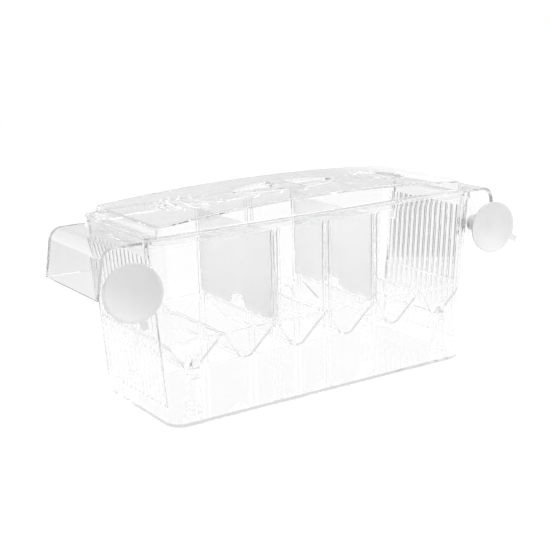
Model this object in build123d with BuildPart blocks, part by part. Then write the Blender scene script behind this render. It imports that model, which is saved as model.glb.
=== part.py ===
from build123d import *
from math import atan, cos, radians, sin, sqrt
import os

# A clear hang-on breeding box: a leaning tank with slotted ends, a tray of V troughs
# on four posts, two frosted partitions, a domed lid and two soft suction cups.
# Millimetres, +X along the box, -Y towards its front, +Z up.
# The origin is the middle of the underside.

os.makedirs("parts", exist_ok=True)

# Tank
tank_height = 94.0
bottom_length = 184.0
bottom_width = 76.0
end_lean = 6.8
side_lean = 0.7
corner_radius = 8.0
wall = 1.6
floor = 2.0
bottom_round = 1.2
rim_height = 3.6
rim_reach = 1.0

# Slits in the two end walls
slit_pitch = 4.4
slit_margin = 6.4
slit_width = 2.0
slit_bottom = 10.5
slit_headroom = 9.0

# Guide ribs on the front and back walls, in pairs that hold a partition
rib_gap = 2.2
rib_width = 1.4
rib_depth = 1.0
rib_headroom = 0.6

# Lugs that carry the suction cups
lug_reach = 23.6
lug_flare = 3.8
lug_corner = 7.0
lug_drop = 1.2
lug_height = 24.5

# Lid
lid_overhang = 0.2
lid_wall = 1.5
lid_clearance = 0.4
skirt_drop = 2.6
skirt_wall = 1.2
dome_inset = 5.6
dome_corner = 3.0
dome_draft = 6.0
dome_round = 0.8
dome_end_height = 5.2
dome_rise = 4.8

# Vents and feeding hole in the lid
vent_count = 7
vent_pitch = 5.0
vent_width = 1.9
vent_bend = 25.0
vent_radius = 16.5
vent_offset = 60.0
feed_half_length = 31.0
feed_half_width = 12.0
feed_bridge = 9.0
feed_corner = 1.2
bead_width = 1.6
bead_height = 0.7

# Tray of V troughs
trough_count = 6
trough_depth = 16.9
trough_floor = 5.0
trough_bend = 3.0
trough_end_slope = 4.9
ridge_width = 2.0
ridge_height = 43.3
sheet = 1.2
end_flange = 0.5
tray_clearance = 0.5
tray_corner = 6.0
rib_clearance = 0.3
drain_count = 3
drain_pitch = 18.0
drain_length = 14.0
drain_width = 2.4

# Tabs on the ridges, which a partition's notch drops over
tab_base = 14.4
tab_top = 8.0
tab_height = 6.0
tab_thickness = 1.4
tab_clearance = 0.5

# Posts under the tray
post_inset = 4.0
foot_radius = 3.6
post_taper = 0.4
post_wall = 1.2
collar_radius = 3.8
collar_height = 2.0
socket_drop = 1.5
socket_height = 10.0
peg_radius = 1.8
peg_height = 2.4
peg_clearance = 0.2
ring_count = 3
ring_pitch = 2.2
ring_height = 1.0
ring_reach = 0.3
ring_start = 3.0

# Partitions
panel_thickness = 1.6
panel_clearance = 0.4
panel_corner = 1.5
panel_headroom = 1.6

# Suction cups
cup_radius = 14.2
cup_depth = 13.6
cup_lip = 0.9
cup_hollow = 3.8
cup_belly = 1.2
neck_radius = 2.6
hole_clearance = 0.4
head_radius = 4.8
head_thickness = 2.4
ball_radius = 4.4
waist_angle = 35.0
web_clearance = 0.3
cup_rise = 4.7
cup_offset = 12.9
pull_length = 4.2
pull_width = 3.4
pull_thickness = 1.4
cup_turn = {"left": 14.0, "right": 5.0}
pull_angle = {"left": -74.0, "right": -28.0}


# The leaning walls: their length and width at a height
def outer_length(z):
    return bottom_length + 2 * end_lean * z / tank_height


def outer_width(z):
    return bottom_width + 2 * side_lean * z / tank_height


def inner_length(z):
    return outer_length(z) - 2 * wall


def inner_width(z):
    return outer_width(z) - 2 * wall


# Sizes and places that several pieces share
side_sign = {"left": -1, "right": 1}
depth_sign = {"front": -1, "back": 1}
inner_corner = corner_radius - wall
skirt_bottom = tank_height - skirt_drop
tray_length = inner_length(ridge_height) - 2 * tray_clearance
tray_width = inner_width(ridge_height) - 2 * tray_clearance
trough_pitch = (tray_length - 2 * end_flange + ridge_width) / trough_count
slot_places = [-trough_pitch, 0.0, trough_pitch]
trough_bottom = ridge_height - trough_depth
socket_bottom = trough_bottom - socket_drop
post_x = trough_pitch * (trough_count - 1) / 2
post_y = tray_width / 2 - post_inset
lug_top = tank_height - lug_drop
lug_bottom = lug_top - lug_height
# As many slits as fit between the margins, and webs on the bars inside the outermost two
slit_count = int((bottom_width - 2 * slit_margin) / slit_pitch) + 1
lug_depth = (slit_count - 2) * slit_pitch + wall
cup_height = lug_bottom + cup_rise
cup_x = outer_length(cup_height) / 2 + cup_offset


# A lug seen from the front: the outline of its bent sheet, drawn inset by a distance
def lug_outline(inset):
    root = outer_length(lug_bottom) / 2 - wall / 2
    side = outer_length(lug_bottom) / 2 + lug_reach
    with BuildSketch() as outline:
        with BuildLine():
            bend = FilletPolyline(
                (root, lug_top - inset),
                (side - inset, lug_top - inset),
                (side + lug_flare - inset, lug_bottom),
                radius=lug_corner - inset,
            )
            Polyline(bend @ 1, (root, lug_bottom), bend @ 0)
        make_face()
    return outline.sketch_local


lug_outside = lug_outline(0)
lug_inside = lug_outline(wall)

with BuildPart() as lug:
    with BuildSketch(Plane.XZ) as lug_block:
        add(lug_outside)
    extrude(amount=lug_depth / 2, both=True)
    with BuildSketch(Plane.XZ) as lug_hollow:
        add(lug_inside)
    extrude(amount=lug_depth / 2 - wall, both=True, mode=Mode.SUBTRACT)
    with BuildSketch(Plane.XZ.offset(lug_depth / 2)) as cup_hole:
        with Locations((cup_x, cup_height)):
            Circle(neck_radius + hole_clearance)
    extrude(amount=-wall, mode=Mode.SUBTRACT)

with BuildPart() as tank:
    for z in (0, tank_height):
        with BuildSketch(Plane.XY.offset(z)) as shell_outline:
            RectangleRounded(outer_length(z), outer_width(z), corner_radius)
    loft()
    underside = tank.faces().sort_by(Axis.Z)[0]
    fillet(underside.edges(), bottom_round)

    with BuildSketch(Plane.XY.offset(tank_height)) as rim:
        RectangleRounded(
            outer_length(tank_height) + 2 * rim_reach,
            outer_width(tank_height) + 2 * rim_reach,
            corner_radius + rim_reach,
        )
    extrude(amount=-rim_height)

    add(lug.part)
    mirror(lug.part, about=Plane.YZ)

    for z in (floor, tank_height):
        with BuildSketch(Plane.XY.offset(z)) as cavity_outline:
            RectangleRounded(inner_length(z), inner_width(z), inner_corner)
    loft(mode=Mode.SUBTRACT)

    # Slits, cut from inside each end wall to just past its outer face
    slit_top = tank_height - slit_headroom
    slit_depth = end_lean + 2 * wall
    for sign in side_sign.values():
        with BuildSketch(Plane.YZ.offset(sign * outer_length(slit_top) / 2)) as slits:
            with Locations((0, (slit_bottom + slit_top) / 2)):
                with GridLocations(slit_pitch, 0, slit_count, 1):
                    Rectangle(slit_width, slit_top - slit_bottom)
        extrude(amount=-sign * slit_depth, mode=Mode.SUBTRACT)

    # Guide ribs, from the floor to just under the lid's skirt
    rib_top = skirt_bottom - rib_headroom
    for place in slot_places:
        for edge in (place - rib_gap / 2 - rib_width, place + rib_gap / 2):
            with BuildSketch(Plane.YZ.offset(edge)) as rib:
                with BuildLine():
                    Polyline(
                        (inner_width(floor) / 2 - rib_depth, floor),
                        (inner_width(floor) / 2 + wall / 2, floor),
                        (inner_width(rib_top) / 2 + wall / 2, rib_top),
                        (inner_width(rib_top) / 2 - rib_depth, rib_top),
                        close=True,
                    )
                make_face()
                mirror(about=Plane.YZ)
            extrude(amount=rib_width)

tank.part.label = "tank"
export_step(tank.part, "parts/tank.step")

# Lid
lid_length = outer_length(tank_height) + 2 * (rim_reach + lid_overhang)
lid_width = outer_width(tank_height) + 2 * (rim_reach + lid_overhang)
lid_corner = corner_radius + rim_reach + lid_overhang
skirt_length = inner_length(skirt_bottom) - 2 * lid_clearance
skirt_width = inner_width(skirt_bottom) - 2 * lid_clearance
skirt_corner = inner_corner - lid_clearance
dome_height = dome_end_height + dome_rise


# The dome without its hollow, drawn inset by a distance: drafted walls under an arched top
def dome_form(inset):
    end_top = tank_height + dome_end_height - inset
    with BuildPart() as form:
        with BuildSketch(Plane.XY.offset(tank_height)) as base:
            RectangleRounded(
                lid_length - 2 * dome_inset - 2 * inset,
                lid_width - 2 * dome_inset - 2 * inset,
                dome_corner - inset,
            )
        extrude(amount=dome_height + bead_height, taper=dome_draft)
        with BuildSketch(Plane.XZ) as arched_side:
            with BuildLine():
                arch = ThreePointArc(
                    (-lid_length / 2, end_top),
                    (0, end_top + dome_rise),
                    (lid_length / 2, end_top),
                )
                Polyline(
                    arch @ 1,
                    (lid_length / 2, tank_height),
                    (-lid_length / 2, tank_height),
                    arch @ 0,
                )
            make_face()
        extrude(amount=lid_width / 2, both=True, mode=Mode.INTERSECT)
    return form.part


dome_outside = dome_form(0)
dome_inside = dome_form(lid_wall)
bead_surface = dome_form(-bead_height)

with BuildPart() as bead:
    with BuildSketch(Plane.XY.offset(tank_height)) as bead_ring:
        Ellipse(feed_half_length + bead_width, feed_half_width + bead_width)
    extrude(amount=dome_height + bead_height)
    add(bead_surface, mode=Mode.INTERSECT)

with BuildPart() as lid:
    add(dome_outside)
    dome_top = lid.faces().sort_by(Axis.Z)[-1]
    fillet(dome_top.edges(), dome_round)
    add(bead.part)

    with BuildSketch(Plane.XY.offset(tank_height)) as flange:
        RectangleRounded(lid_length, lid_width, lid_corner)
    extrude(amount=lid_wall)
    add(dome_inside, mode=Mode.SUBTRACT)

    with BuildSketch(Plane.XY.offset(tank_height)) as skirt:
        RectangleRounded(skirt_length, skirt_width, skirt_corner)
        offset(amount=-skirt_wall, mode=Mode.SUBTRACT)
    extrude(amount=-skirt_drop)

    # Two feeding holes with a bridge between them
    with BuildSketch(Plane.XY.offset(tank_height)) as feeding_holes:
        Ellipse(feed_half_length, feed_half_width)
        Rectangle(feed_bridge, 2 * feed_half_width, mode=Mode.SUBTRACT)
        fillet(feeding_holes.vertices(), feed_corner)
    extrude(amount=dome_height + bead_height, mode=Mode.SUBTRACT)

    # Vents: bent slots inside a circle, bowed away from the middle of the lid
    with BuildSketch(Plane.XY.offset(tank_height)) as vents:
        for sign in side_sign.values():
            for number in range(vent_count):
                shift = (number - (vent_count - 1) / 2) * vent_pitch
                half_slot = sqrt(vent_radius**2 - shift**2)
                vent_x = sign * vent_offset + shift
                with BuildLine(mode=Mode.PRIVATE) as vent_path:
                    RadiusArc((vent_x, -half_slot), (vent_x, half_slot), sign * -vent_bend)
                SlotArc(vent_path.line.edge(), vent_width)
    extrude(amount=dome_height, mode=Mode.SUBTRACT)

lid.part.label = "lid"
export_step(lid.part, "parts/lid.step")

# The flanks of a trough lean over this run and rise, from its floor to its mouth
mouth_length = trough_pitch - ridge_width
mouth_width = tray_width - 2 * sheet
flank_run = (mouth_length - trough_floor) / 2
flank_rise = trough_depth - sheet
flank_skin = sheet / cos(atan(flank_run / flank_rise))
end_skin = sheet / cos(atan(trough_end_slope / flank_rise))


# A trough down to a depth under the ridges, with a skin around it on request
def trough_form(depth, flank, end, bend):
    with BuildPart() as form:
        for level in (depth, 0):
            share = level / flank_rise
            with BuildSketch(Plane.XY.offset(ridge_height - level)) as section:
                Rectangle(
                    mouth_length - 2 * flank_run * share + 2 * flank,
                    mouth_width - 2 * trough_end_slope * share + 2 * end,
                )
        loft()
        fillet(form.edges().filter_by(Axis.Y).group_by(Axis.Z)[0], bend)
    return form.part


trough_outside = trough_form(trough_depth, flank_skin, end_skin, trough_bend + sheet)
trough_inside = trough_form(flank_rise, 0, 0, trough_bend)


# A tab or its notch, seen along the box and drawn larger by a gap
def tab_outline(gap):
    with BuildSketch() as outline:
        with BuildLine():
            Polyline(
                (-tab_base / 2 - gap, ridge_height),
                (tab_base / 2 + gap, ridge_height),
                (tab_top / 2 + gap, ridge_height + tab_height + gap),
                (-tab_top / 2 - gap, ridge_height + tab_height + gap),
                close=True,
            )
        make_face()
    return outline.sketch_local


tab_shape = tab_outline(0)
notch_shape = tab_outline(tab_clearance)

with BuildPart() as v_tray:
    with BuildSketch(Plane.XY.offset(ridge_height)) as top_sheet:
        RectangleRounded(tray_length, tray_width, tray_corner)
    extrude(amount=-sheet)

    trough_places = GridLocations(trough_pitch, 0, trough_count, 1)
    with trough_places:
        add(trough_outside)

    with BuildSketch(Plane.XY.offset(socket_bottom)) as sockets:
        with GridLocations(2 * post_x, 2 * post_y, 2, 2):
            Circle(collar_radius)
    extrude(amount=socket_height)

    with BuildSketch(Plane.XY.offset(socket_bottom)) as tray_limit:
        RectangleRounded(tray_length, tray_width, tray_corner)
    extrude(amount=ridge_height - socket_bottom, mode=Mode.INTERSECT)

    with trough_places:
        add(trough_inside, mode=Mode.SUBTRACT)

    with BuildSketch(Plane.XY.offset(trough_bottom)) as drains:
        with GridLocations(trough_pitch, drain_pitch, trough_count, drain_count):
            Rectangle(drain_width, drain_length)
    extrude(amount=sheet, mode=Mode.SUBTRACT)

    with BuildSketch(Plane.XY.offset(socket_bottom)) as peg_bores:
        with GridLocations(2 * post_x, 2 * post_y, 2, 2):
            Circle(peg_radius + peg_clearance)
    extrude(amount=peg_height + peg_clearance, mode=Mode.SUBTRACT)

    # Notches that pass the guide ribs as the tray is lifted
    notch_floor = inner_width(ridge_height) / 2 - rib_depth - rib_clearance
    notch_depth = tray_width / 2 - notch_floor
    with BuildSketch(Plane.XY.offset(ridge_height)) as rib_notches:
        for place in slot_places:
            for sign in depth_sign.values():
                with Locations((place, sign * (notch_floor + notch_depth))):
                    Rectangle(rib_gap + 2 * rib_width + 2 * rib_clearance, 2 * notch_depth)
    extrude(amount=socket_bottom - ridge_height, mode=Mode.SUBTRACT)

    for place in slot_places:
        with BuildSketch(Plane.YZ.offset(place)) as tab:
            add(tab_shape)
        extrude(amount=tab_thickness / 2, both=True)

v_tray.part.label = "v_tray"
export_step(v_tray.part, "parts/v_tray.step")

# Posts: a tapered hollow stem on the tank's floor, three rings, a collar and a peg
post_top_radius = foot_radius - post_taper
post_bore_radius = post_top_radius - post_wall
collar_bottom = socket_bottom - collar_height
for depth_name, depth_way in depth_sign.items():
    for side_name, side_way in side_sign.items():
        post_plane = Plane.XZ.offset(-depth_way * post_y)
        with BuildPart() as post:
            with BuildSketch(post_plane) as stem:
                with BuildLine():
                    Polyline(
                        (side_way * post_x + post_bore_radius, floor),
                        (side_way * post_x + foot_radius, floor),
                        (side_way * post_x + post_top_radius, collar_bottom),
                        (side_way * post_x + collar_radius, collar_bottom),
                        (side_way * post_x + collar_radius, socket_bottom),
                        (side_way * post_x + peg_radius, socket_bottom),
                        (side_way * post_x + peg_radius, socket_bottom + peg_height),
                        (side_way * post_x, socket_bottom + peg_height),
                        (side_way * post_x, collar_bottom),
                        (side_way * post_x + post_bore_radius, collar_bottom),
                        close=True,
                    )
                make_face()
            post_axis = Axis((side_way * post_x, depth_way * post_y, floor), (0, 0, 1))
            revolve(axis=post_axis)
            for number in range(ring_count):
                ring_bottom = floor + ring_start + number * ring_pitch
                with BuildSketch(Plane.XY.offset(ring_bottom)) as ring:
                    with Locations((side_way * post_x, depth_way * post_y)):
                        Circle(foot_radius + ring_reach)
                extrude(amount=ring_height)
        post.part.label = f"tray_leg_{depth_name}_{side_name}"
        export_step(post.part, f"parts/{post.part.label}.step")

# Partitions, which stand on a ridge of the tray between the guide ribs
panel_top = skirt_bottom - panel_headroom
for side_name, side_way in side_sign.items():
    with BuildPart() as panel:
        with BuildSketch(Plane.YZ.offset(side_way * trough_pitch)) as panel_outline:
            with BuildLine():
                Polyline(
                    (inner_width(ridge_height) / 2 - panel_clearance, ridge_height),
                    (inner_width(panel_top) / 2 - panel_clearance, panel_top),
                    (-inner_width(panel_top) / 2 + panel_clearance, panel_top),
                    (-inner_width(ridge_height) / 2 + panel_clearance, ridge_height),
                    close=True,
                )
            make_face()
            fillet(panel_outline.vertices().group_by(Axis.Y)[-1], panel_corner)
            add(notch_shape, mode=Mode.SUBTRACT)
        extrude(amount=panel_thickness / 2, both=True)
    panel.part.label = f"divider_{side_name}"
    export_step(panel.part, f"parts/{panel.part.label}.step")

# Suction cups: a head behind the web, a neck through its hole, a ball and a turned bell
web_front = -lug_depth / 2
ball_y = web_front - web_clearance - ball_radius
head_y = web_front + wall + web_clearance
rim_distance = cup_depth - web_clearance - ball_radius
waist_radius = ball_radius * cos(radians(waist_angle))
waist_distance = ball_radius * sin(radians(waist_angle))
dish_radius = cup_radius - cup_lip
# Radius of the sphere whose cap is the hollow face
dish_bend = (dish_radius**2 + cup_hollow**2) / (2 * cup_hollow)
for side_name, side_way in side_sign.items():
    ball_centre = Vector(side_way * cup_x, ball_y, cup_height)
    turn = radians(cup_turn[side_name])
    across = Vector(cos(turn), -sin(turn), 0)
    bell_axis = Vector(-sin(turn), -cos(turn), 0)
    bell_plane = Plane(origin=ball_centre, x_dir=(0, 0, 1), z_dir=across)
    rim_plane = Plane(
        origin=ball_centre + bell_axis * rim_distance, x_dir=across, z_dir=bell_axis
    )
    with BuildPart() as cup:
        with BuildSketch(Plane.XZ.offset(-head_y)) as head:
            with Locations((side_way * cup_x, cup_height)):
                Circle(head_radius)
        extrude(amount=-head_thickness)
        with BuildSketch(Plane.XZ.offset(-head_y)) as neck:
            with Locations((side_way * cup_x, cup_height)):
                Circle(neck_radius)
        extrude(amount=head_y - ball_y)

        # Ball, flared back, lip and hollow face in one turned profile
        with BuildSketch(bell_plane) as bell:
            with BuildLine():
                ball = ThreePointArc(
                    (0, -ball_radius), (ball_radius, 0), (waist_radius, waist_distance)
                )
                back = SagittaArc(ball @ 1, (cup_radius, rim_distance - cup_lip), -cup_belly)
                lip = Polyline(back @ 1, (cup_radius, rim_distance), (dish_radius, rim_distance))
                dish = RadiusArc(lip @ 1, (0, rim_distance - cup_hollow), dish_bend)
                Line(dish @ 1, ball @ 0)
            make_face()
        revolve(axis=Axis(ball_centre, bell_axis))

        # Pull tab on the rim
        with BuildSketch(rim_plane) as pull:
            with PolarLocations(cup_radius - cup_lip, 1, start_angle=pull_angle[side_name]):
                Rectangle(
                    cup_lip + pull_length, pull_width, align=(Align.MIN, Align.CENTER)
                )
        extrude(amount=-pull_thickness)
    cup.part.label = f"suction_cup_{side_name}"
    export_step(cup.part, f"parts/{cup.part.label}.step")
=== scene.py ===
from math import radians

import bmesh
import bpy
from bpy.props import FloatProperty, FloatVectorProperty, PointerProperty
from mathutils import Euler, Matrix, Vector


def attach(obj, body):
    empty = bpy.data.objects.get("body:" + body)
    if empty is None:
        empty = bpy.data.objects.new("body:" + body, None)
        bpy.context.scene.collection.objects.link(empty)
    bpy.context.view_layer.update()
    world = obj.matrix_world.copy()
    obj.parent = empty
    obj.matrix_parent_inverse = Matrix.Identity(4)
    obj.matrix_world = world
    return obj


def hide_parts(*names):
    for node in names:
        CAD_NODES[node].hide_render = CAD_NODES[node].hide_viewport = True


bl_info = {
    "name": "Clear Breeding Box",
    "version": (1, 0, 0),
    "blender": (4, 5, 0),
    "location": "View3D > Sidebar > Breeding Box",
    "description": "Dresses a clear hang-on breeding box with its tray, partitions and cups",
    "category": "Object",
}

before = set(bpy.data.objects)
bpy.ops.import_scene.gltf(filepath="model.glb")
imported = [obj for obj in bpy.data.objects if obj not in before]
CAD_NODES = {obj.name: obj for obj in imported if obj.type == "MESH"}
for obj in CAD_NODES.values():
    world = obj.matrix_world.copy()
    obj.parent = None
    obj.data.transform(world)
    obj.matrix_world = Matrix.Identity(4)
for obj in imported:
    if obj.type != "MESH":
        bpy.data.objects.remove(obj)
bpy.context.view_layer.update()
MM = 0.001
SIDES = ("left", "right")
LEGS = [f"tray_leg_{depth}_{side}" for depth in ("front", "back") for side in SIDES]
# Heights in millimetres where one piece rests on another, how near a corner has to be to count
# as lying at one of them, and the gap that is left there
TANK_FLOOR = 2.0
SOCKET_MOUTH = 24.9
RIDGE_TOP = 43.3
RIM_TOP = 94.0
SEAT_REACH = 0.005
SEAT_GAP = 0.06
# Corners nearer to each other than this, in millimetres, are joined
SAME_CORNER = 0.002
# Faces that turn by less than the first angle are one flat face, edges past the second are
# shaded as sharp, and edges past the third are rounded
FLAT_ANGLE = radians(0.5)
CURVE_ANGLE = radians(25)
EDGE_ANGLE = radians(35)
# The shade that the body of the clear plastic gives light that runs far inside it
BODY_SHADE = 0.42
# The shares of lamp light that cross each plastic
CLEAR_SHADOW = 0.98
FROSTED_SHADOW = 0.6
SOFT_SHADOW = 0.5
# Light that has been reflected more often than this is let out of a wall
MOST_TURNS = 4.5
# The shares that are left of it near the tank and out on the lugs, and how far from the middle,
# in metres, the one turns into the other; the darker share on the lugs is painted shade that
# darkens their edges by place
EDGE_SHADE = 0.955
LUG_PAINTED_SHADE = 0.72
LUG_START = 0.099
LUG_FULL = 0.102
# Light that has crossed more surfaces than this is past the first wall
FIRST_WALL = 2.5
# Left of this place, in metres, the floor is dim in reflections
LEFT_FLOOR = -0.11
# The least share of the floor that glows where it is seen through a wall
GLOW_THROUGH_WALLS = 0.96
# The floor's size in metres, and how far it lies below the object in millimetres
FLOOR_SIZE = 30
FLOOR_DROP = 0.3
# The width of the camera's sensor in millimetres
SENSOR_WIDTH = 36
# Where the lamps point, in metres
LAMP_TARGET = Vector((0, 0, 0.05))
# How often light is followed from one surface to the next
MOST_BOUNCES = 32


# Properties


class PlasticSettings(bpy.types.PropertyGroup):
    clear_colour: FloatVectorProperty(
        name="Clear Plastic Colour",
        description="What the clear moulded plastic lets through",
        subtype="COLOR",
        default=(0.995, 0.995, 0.995),
        min=0,
        max=1,
    )
    clear_roughness: FloatProperty(
        name="Clear Plastic Roughness",
        description="How dull the polished mould left the clear plastic",
        default=0.0,
        min=0,
        max=1,
    )
    clear_ior: FloatProperty(
        name="Clear Plastic IOR",
        description="How strongly the clear plastic bends light",
        default=1.5,
        min=1,
        max=2,
    )
    clear_density: FloatProperty(
        name="Clear Plastic Density",
        description="How much light the body of the clear plastic takes",
        default=4.0,
        min=0,
        max=100,
    )
    edge_rounding: FloatProperty(
        name="Edge Rounding",
        description="How far the edges of every piece are rounded",
        unit="LENGTH",
        default=0.25 * MM,
        min=0,
        max=1 * MM,
    )
    frosted_colour: FloatVectorProperty(
        name="Frosted Colour",
        description="Colour of the frosted partitions",
        subtype="COLOR",
        default=(0.967, 0.967, 0.967),
        min=0,
        max=1,
    )
    soft_colour: FloatVectorProperty(
        name="Suction Cup Colour",
        description="Colour of the milky soft suction cups",
        subtype="COLOR",
        default=(0.723, 0.723, 0.723),
        min=0,
        max=1,
    )


class StageSettings(bpy.types.PropertyGroup):
    camera_place: FloatVectorProperty(
        name="Camera Place",
        description="Where the camera stands",
        subtype="TRANSLATION",
        unit="LENGTH",
        default=(-0.34414, -0.51304, 0.21417),
    )
    camera_azimuth: FloatProperty(
        name="Camera Azimuth",
        description="Compass turn of the camera from looking along Y",
        unit="ROTATION",
        default=radians(-33.55),
    )
    camera_elevation: FloatProperty(
        name="Camera Elevation",
        description="How far the camera looks down",
        unit="ROTATION",
        default=radians(13.65),
    )
    camera_roll: FloatProperty(
        name="Camera Roll",
        description="Tilt of the camera about its own axis",
        unit="ROTATION",
        default=radians(-1.36),
    )
    camera_lens: FloatProperty(
        name="Lens",
        description="Focal length on a 36 mm sensor",
        default=77.96,
        min=10,
        max=300,
    )
    camera_shift: FloatVectorProperty(
        name="Lens Shift",
        description="Sideways and upward shift of the picture",
        size=2,
        default=(-0.00884, -0.0302),
    )
    floor_colour: FloatVectorProperty(
        name="Floor Colour",
        description="Colour of the plain floor",
        subtype="COLOR",
        default=(0.95, 0.95, 0.95),
        min=0,
        max=1,
    )
    lamp_power: FloatProperty(
        name="Lamp Power",
        description="Power of the large overhead lamp",
        unit="POWER",
        default=18,
        min=0,
        max=500,
    )


# Materials


def grey(share):
    return (share, share, share, 1)


class Wiring:
    """A node tree being wired, with short ways to add nodes and join them."""

    def __init__(self, tree):
        self.nodes = tree.nodes
        self.links = tree.links
        self.light = self.add("ShaderNodeLightPath").outputs

    def add(self, kind, **values):
        node = self.nodes.new(kind)
        for key, value in values.items():
            setattr(node, key, value)
        return node

    def give(self, value, socket):
        """Joins another node's output to a socket, or sets the socket to a plain value."""
        if isinstance(value, bpy.types.NodeSocket):
            self.links.new(value, socket)
        else:
            socket.default_value = value

    def math(self, operation, first, second=0.0):
        node = self.add("ShaderNodeMath", operation=operation)
        self.give(first, node.inputs[0])
        self.give(second, node.inputs[1])
        return node.outputs[0]

    def spread(self, value, start, end, low, high, curve="LINEAR"):
        """Turns a value that runs from start to end into one that runs from low to high."""
        ramp = self.add("ShaderNodeMapRange", interpolation_type=curve)
        ramp.inputs["From Min"].default_value = start
        ramp.inputs["From Max"].default_value = end
        ramp.inputs["To Min"].default_value = low
        ramp.inputs["To Max"].default_value = high
        self.links.new(value, ramp.inputs["Value"])
        return ramp.outputs["Result"]

    def blend(self, value, first, second):
        mix = self.add("ShaderNodeMix", data_type="RGBA")
        self.give(value, mix.inputs["Factor"])
        self.give(first, mix.inputs["A"])
        self.give(second, mix.inputs["B"])
        return mix.outputs["Result"]

    def along(self, axis, place):
        split = self.add("ShaderNodeSeparateXYZ")
        self.links.new(place, split.inputs["Vector"])
        return split.outputs[axis]

    def greys(self, value, *stops):
        """Greys along a value, from stops that each give a place on it and a shade, in order."""
        ramp = self.add("ShaderNodeValToRGB")
        elements = ramp.color_ramp.elements
        while len(elements) < len(stops):
            elements.new(1)
        for element, (position, shade) in zip(elements, stops):
            element.position = position
            element.color = grey(shade)
        self.links.new(value, ramp.inputs["Fac"])
        return ramp.outputs["Color"]

    def turned_share(self, where):
        """The share of the dim part of the room that light shows: all of it after one
        reflection, less after more, and none when it was never reflected or where there is
        no dim part."""
        turns = self.light["Glossy Depth"]
        turned = self.math("GREATER_THAN", turns, 0.5)
        fewer = self.spread(turns, start=1, end=5, low=1, high=0.1)
        return self.math("MULTIPLY", self.math("MULTIPLY", turned, fewer), where)


class Material(Wiring):
    """A material being wired around one Principled shader."""

    def __init__(self, name):
        self.material = bpy.data.materials.new(name)
        self.material.use_nodes = True
        super().__init__(self.material.node_tree)
        self.shader = self.nodes["Principled BSDF"]
        self.output = self.nodes["Material Output"]
        self.place = self.add("ShaderNodeTexCoord").outputs["Object"]

    def set(self, **sockets):
        for key, value in sockets.items():
            self.give(value, self.shader.inputs[key.replace("_", " ")])

    def noise(self, scale, detail):
        noise = self.add("ShaderNodeTexNoise")
        noise.inputs["Scale"].default_value = scale
        noise.inputs["Detail"].default_value = detail
        self.links.new(self.place, noise.inputs["Vector"])
        return noise.outputs["Fac"]

    def clouds(self, pale, scale, darkest):
        """A pale colour with clouds of a slightly darker one."""
        dark = [shade * darkest for shade in pale]
        return self.blend(self.noise(scale, detail=3), (*pale, 1), (*dark, 1))

    def uneven(self, scale, detail, least, most):
        """A value that wanders between two others."""
        return self.spread(self.noise(scale, detail), start=0.3, end=0.7, low=least, high=most)

    def bump(self, height, strength, distance):
        bump = self.add("ShaderNodeBump")
        bump.inputs["Strength"].default_value = strength
        bump.inputs["Distance"].default_value = distance
        self.links.new(height, bump.inputs["Height"])
        self.set(Normal=bump.outputs["Normal"])

    def show_instead(self, share, other):
        """Shows another shader's light in the place of this share of the surface's own."""
        mix = self.add("ShaderNodeMixShader")
        self.give(share, mix.inputs["Fac"])
        self.links.new(self.shader.outputs["BSDF"], mix.inputs[1])
        self.links.new(other.outputs[0], mix.inputs[2])
        self.links.new(mix.outputs["Shader"], self.output.inputs["Surface"])

    def let_light_cross(self, when, tint):
        """Lets light go straight through the surface, dimmed by a tint."""
        clear = self.add("ShaderNodeBsdfTransparent")
        self.give(tint, clear.inputs["Color"])
        self.show_instead(when, clear)


def clear_plastic(settings):
    """Polished clear plastic with the faint flow waves of moulding. Lamp light crosses it, and
    so does light that was reflected inside the walls too often, which leaves the edges a soft
    grey, and painted shade makes them darker out on the lugs."""
    plastic = Material("polished_clear")
    dull = settings.clear_roughness
    plastic.set(
        Base_Color=(*settings.clear_colour, 1),
        Transmission_Weight=1.0,
        IOR=settings.clear_ior,
        Roughness=plastic.uneven(scale=60, detail=3, least=dull, most=dull + 0.01),
    )
    plastic.bump(plastic.noise(scale=35, detail=1), strength=0.02, distance=0.0005)
    body = plastic.add("ShaderNodeVolumeAbsorption")
    body.inputs["Color"].default_value = grey(BODY_SHADE)
    body.inputs["Density"].default_value = settings.clear_density
    plastic.links.new(body.outputs["Volume"], plastic.output.inputs["Volume"])
    trapped = plastic.math("GREATER_THAN", plastic.light["Glossy Depth"], MOST_TURNS)
    outward = plastic.math("ABSOLUTE", plastic.along("X", plastic.place))
    # painted shade: light let out of the walls is dimmed more on the lugs, by place alone
    painted_lug_shade = plastic.spread(outward, LUG_START, LUG_FULL, low=0, high=1)
    edge_tint_and_painted_lug_shade = plastic.blend(painted_lug_shade, grey(EDGE_SHADE), grey(LUG_PAINTED_SHADE))
    tint = plastic.blend(trapped, grey(CLEAR_SHADOW), edge_tint_and_painted_lug_shade)
    crosses = plastic.math("MAXIMUM", plastic.light["Is Shadow Ray"], trapped)
    plastic.let_light_cross(crosses, tint)
    return plastic.material


def frosted_plastic(settings):
    """Sheet plastic with a fine matt grain that hides what is behind it."""
    plastic = Material("frosted_sheet")
    plastic.set(
        Base_Color=plastic.clouds(settings.frosted_colour, scale=40, darkest=0.97),
        Transmission_Weight=0.75,
        IOR=1.45,
        Roughness=0.6,
    )
    plastic.bump(plastic.noise(scale=1800, detail=2), strength=0.15, distance=0.0002)
    plastic.let_light_cross(plastic.light["Is Shadow Ray"], grey(FROSTED_SHADOW))
    return plastic.material


def soft_plastic(settings):
    """Milky soft plastic, a little cloudy and half shiny."""
    plastic = Material("milky_vinyl")
    plastic.set(
        Base_Color=plastic.clouds(settings.soft_colour, scale=90, darkest=0.95),
        Transmission_Weight=0.35,
        IOR=1.45,
        Roughness=plastic.uneven(scale=300, detail=2, least=0.28, most=0.42),
    )
    plastic.bump(plastic.noise(scale=700, detail=2), strength=0.08, distance=0.0003)
    plastic.let_light_cross(plastic.light["Is Shadow Ray"], grey(SOFT_SHADOW))
    return plastic.material


FINISHES = {}


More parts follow.
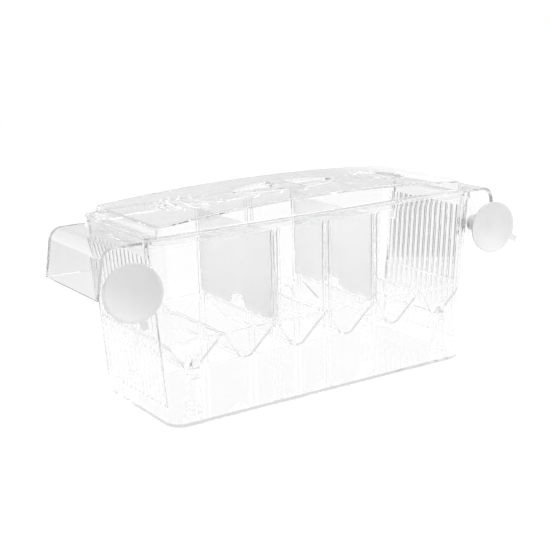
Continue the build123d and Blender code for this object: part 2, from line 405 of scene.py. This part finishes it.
def dress(context, piece, maker):
    """Gives a piece its only material, which is made once."""
    if maker not in FINISHES:
        FINISHES[maker] = maker(context.scene.breeding_box_plastic)
    piece.data.materials.clear()
    piece.data.materials.append(FINISHES[maker])


# Pieces


def moulded_copy(context, node, name, seats):
    """A copy of a construction piece with its loose triangles joined, its curves smooth and its
    edges rounded. Each seat is the height of a face that touches another piece and the hair's
    breadth by which it is moved, up or down, so that light meets one surface at a time."""
    form = bmesh.new()
    form.from_mesh(CAD_NODES[node].data)
    bmesh.ops.remove_doubles(form, verts=form.verts, dist=SAME_CORNER * MM)
    for height, lift in seats:
        seat = [v for v in form.verts if abs(v.co.z - height * MM) < SEAT_REACH * MM]
        if not seat:
            raise RuntimeError(f"{node} has no seat at {height} mm")
        bmesh.ops.translate(form, verts=seat, vec=(0, 0, lift * MM))
    bmesh.ops.dissolve_limit(form, angle_limit=FLAT_ANGLE, verts=form.verts, edges=form.edges)
    mesh = bpy.data.meshes.new(name)
    form.to_mesh(mesh)
    form.free()
    mesh.shade_smooth()
    mesh.set_sharp_from_angle(angle=CURVE_ANGLE)
    piece = bpy.data.objects.new(name, mesh)
    context.scene.collection.objects.link(piece)
    soft = piece.modifiers.new("soft_edges", "BEVEL")
    soft.width = context.scene.breeding_box_plastic.edge_rounding
    soft.segments = 2
    soft.limit_method = "ANGLE"
    soft.angle_limit = EDGE_ANGLE
    level = piece.modifiers.new("level_faces", "WEIGHTED_NORMAL")
    level.weight = 100
    level.keep_sharp = True
    return piece


def add_piece(context, node, name, body, maker, seats=()):
    piece = moulded_copy(context, node, name, seats)
    dress(context, piece, maker)
    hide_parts(node)
    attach(piece, body)


class BREEDINGBOX_OT_tank(bpy.types.Operator):
    """Make the clear tank with its slits, guide ribs and lugs"""

    bl_idname = "breeding_box.tank"
    bl_label = "Tank"

    def execute(self, context):
        add_piece(context, "tank", "clear_tank", "tank", clear_plastic)
        return {"FINISHED"}


class BREEDINGBOX_OT_lid(bpy.types.Operator):
    """Make the domed lid"""

    bl_idname = "breeding_box.lid"
    bl_label = "Lid"

    def execute(self, context):
        seats = ((RIM_TOP, SEAT_GAP),)
        add_piece(context, "lid", "domed_lid", "lid", clear_plastic, seats)
        return {"FINISHED"}


class BREEDINGBOX_OT_tray(bpy.types.Operator):
    """Make the tray of V troughs and its four legs"""

    bl_idname = "breeding_box.tray"
    bl_label = "Tray and Legs"

    def execute(self, context):
        add_piece(context, "v_tray", "trough_tray", "tray", clear_plastic)
        seats = ((TANK_FLOOR, SEAT_GAP), (SOCKET_MOUTH, -SEAT_GAP))
        for leg in LEGS:
            add_piece(context, leg, leg + "_post", "tray", clear_plastic, seats)
        return {"FINISHED"}


class BREEDINGBOX_OT_dividers(bpy.types.Operator):
    """Make the two frosted partitions"""

    bl_idname = "breeding_box.dividers"
    bl_label = "Partitions"

    def execute(self, context):
        seats = ((RIDGE_TOP, SEAT_GAP),)
        for side in SIDES:
            node = f"divider_{side}"
            add_piece(
                context, node, f"partition_{side}", node, frosted_plastic, seats
            )
        return {"FINISHED"}


class BREEDINGBOX_OT_cups(bpy.types.Operator):
    """Make the two soft suction cups"""

    bl_idname = "breeding_box.cups"
    bl_label = "Suction Cups"

    def execute(self, context):
        for side in SIDES:
            node = f"suction_cup_{side}"
            add_piece(context, node, f"soft_cup_{side}", node, soft_plastic)
        return {"FINISHED"}


class BREEDINGBOX_OT_stage(bpy.types.Operator):
    """Make the white floor, the surroundings, the lamps and the camera"""

    bl_idname = "breeding_box.stage"
    bl_label = "Stage"

    def execute(self, context):
        settings = context.scene.breeding_box_stage
        self.add_camera(context, settings)
        self.add_floor(context, settings)
        self.add_surroundings(context)
        self.add_lamps(context, settings)
        context.scene.view_settings.view_transform = "Standard"
        for kind in ("max", "transmission", "transparent_max", "glossy"):
            setattr(context.scene.cycles, kind + "_bounces", MOST_BOUNCES)
        return {"FINISHED"}

    def add_camera(self, context, settings):
        lens = bpy.data.cameras.new("camera")
        lens.lens = settings.camera_lens
        lens.sensor_width = SENSOR_WIDTH
        lens.shift_x, lens.shift_y = settings.camera_shift
        camera = bpy.data.objects.new("camera", lens)
        context.scene.collection.objects.link(camera)
        level = radians(90) - settings.camera_elevation
        turn = Euler((level, 0, settings.camera_azimuth)).to_matrix().to_4x4()
        roll = Matrix.Rotation(settings.camera_roll, 4, "Z")
        camera.matrix_world = Matrix.Translation(settings.camera_place) @ turn @ roll
        context.scene.camera = camera

    def add_floor(self, context, settings):
        form = bmesh.new()
        bmesh.ops.create_grid(form, x_segments=1, y_segments=1, size=FLOOR_SIZE)
        mesh = bpy.data.meshes.new("floor")
        bmesh.ops.translate(form, verts=form.verts, vec=(0, 0, -FLOOR_DROP * MM))
        form.to_mesh(mesh)
        form.free()
        floor = bpy.data.objects.new("floor", mesh)
        context.scene.collection.objects.link(floor)
        mesh.materials.append(self.floor_paint(settings))

    def floor_paint(self, settings):
        """White paint that keeps the shadow near the object and is as white as the surroundings
        far from it. Walls that reflect it show it dimmer further out, but only on the left or
        past the first wall."""
        paint = Material("floor_white")
        paint.set(Roughness=0.9, Base_Color=(*settings.floor_colour, 1))
        length = paint.add("ShaderNodeVectorMath", operation="LENGTH")
        paint.links.new(paint.place, length.inputs[0])
        reach = length.outputs["Value"]
        left = paint.math("LESS_THAN", paint.along("X", paint.place), LEFT_FLOOR)
        inside = paint.math("GREATER_THAN", paint.light["Transmission Depth"], FIRST_WALL)
        turned = paint.turned_share(paint.math("MAXIMUM", left, inside))
        dim = paint.spread(reach, start=0.1, end=0.36, low=1.0, high=0.32, curve="SMOOTHSTEP")
        glow = paint.add("ShaderNodeEmission")
        paint.give(paint.blend(turned, grey(1), dim), glow.inputs["Color"])
        far = paint.spread(reach, start=0.2, end=1.2, low=0.7, high=1.0, curve="SMOOTHSTEP")
        crossed = paint.light["Is Transmission Ray"]
        through = paint.math("MULTIPLY", crossed, GLOW_THROUGH_WALLS)
        direct = paint.math("MAXIMUM", paint.light["Is Camera Ray"], crossed)
        seen = paint.math("MAXIMUM", direct, paint.light["Is Glossy Ray"])
        whiter = paint.math("MAXIMUM", far, through)
        paint.show_instead(paint.math("MULTIPLY", seen, whiter), glow)
        return paint.material

    def add_surroundings(self, context):
        """A bright room that darkens towards its ceiling, and a dimmer one that shows only in
        the reflections of the outermost surfaces. The camera itself sees plain white."""
        world = bpy.data.worlds.new("surroundings")
        context.scene.world = world
        world.use_nodes = True
        room = Wiring(world.node_tree)
        place = room.add("ShaderNodeTexCoord").outputs["Generated"]
        height = room.along("Z", place)
        plain = room.greys(height, (0.15, 1.0), (0.5, 0.8))
        dim = room.greys(height, (0.06, 1.0), (0.12, 0.73), (0.24, 0.73), (0.36, 0.62))
        outside = room.math("LESS_THAN", room.light["Transmission Depth"], FIRST_WALL)
        lit = room.blend(room.turned_share(outside), plain, dim)
        shown = room.blend(room.light["Is Camera Ray"], lit, grey(1))
        room.give(shown, room.nodes["Background"].inputs["Color"])

    def add_lamps(self, context, settings):
        for name, place, size, share in (
            ("lamp_over", (0.3, -0.5, 1.3), 1.2, 1.0),
            ("lamp_side", (1.2, 0.4, 0.9), 1.0, 0.5),
        ):
            lamp = bpy.data.lights.new(name, "AREA")
            lamp.energy = settings.lamp_power * share
            lamp.size = size
            holder = bpy.data.objects.new(name, lamp)
            context.scene.collection.objects.link(holder)
            holder.location = place
            aim = LAMP_TARGET - Vector(place)
            holder.rotation_euler = aim.to_track_quat("-Z", "Y").to_euler()


class BREEDINGBOX_PT_panel(bpy.types.Panel):
    bl_idname = "BREEDINGBOX_PT_panel"
    bl_label = "Breeding Box"
    bl_space_type = "VIEW_3D"
    bl_region_type = "UI"
    bl_category = "Breeding Box"

    def draw(self, context):
        for group in (context.scene.breeding_box_plastic, context.scene.breeding_box_stage):
            for name in group.bl_rna.properties.keys():
                if name not in ("rna_type", "name"):
                    self.layout.prop(group, name)
        for operator in OPERATORS:
            self.layout.operator(operator.bl_idname)


OPERATORS = (
    BREEDINGBOX_OT_stage,
    BREEDINGBOX_OT_tank,
    BREEDINGBOX_OT_lid,
    BREEDINGBOX_OT_tray,
    BREEDINGBOX_OT_dividers,
    BREEDINGBOX_OT_cups,
)
CLASSES = (PlasticSettings, StageSettings, *OPERATORS, BREEDINGBOX_PT_panel)


def register():
    for kind in CLASSES:
        bpy.utils.register_class(kind)
    bpy.types.Scene.breeding_box_plastic = PointerProperty(type=PlasticSettings)
    bpy.types.Scene.breeding_box_stage = PointerProperty(type=StageSettings)


def unregister():
    del bpy.types.Scene.breeding_box_stage
    del bpy.types.Scene.breeding_box_plastic
    for kind in reversed(CLASSES):
        bpy.utils.unregister_class(kind)


def main():
    register()
    for operator in OPERATORS:
        group, name = operator.bl_idname.split(".")
        getattr(getattr(bpy.ops, group), name)()


if __name__ == "__main__":
    main()
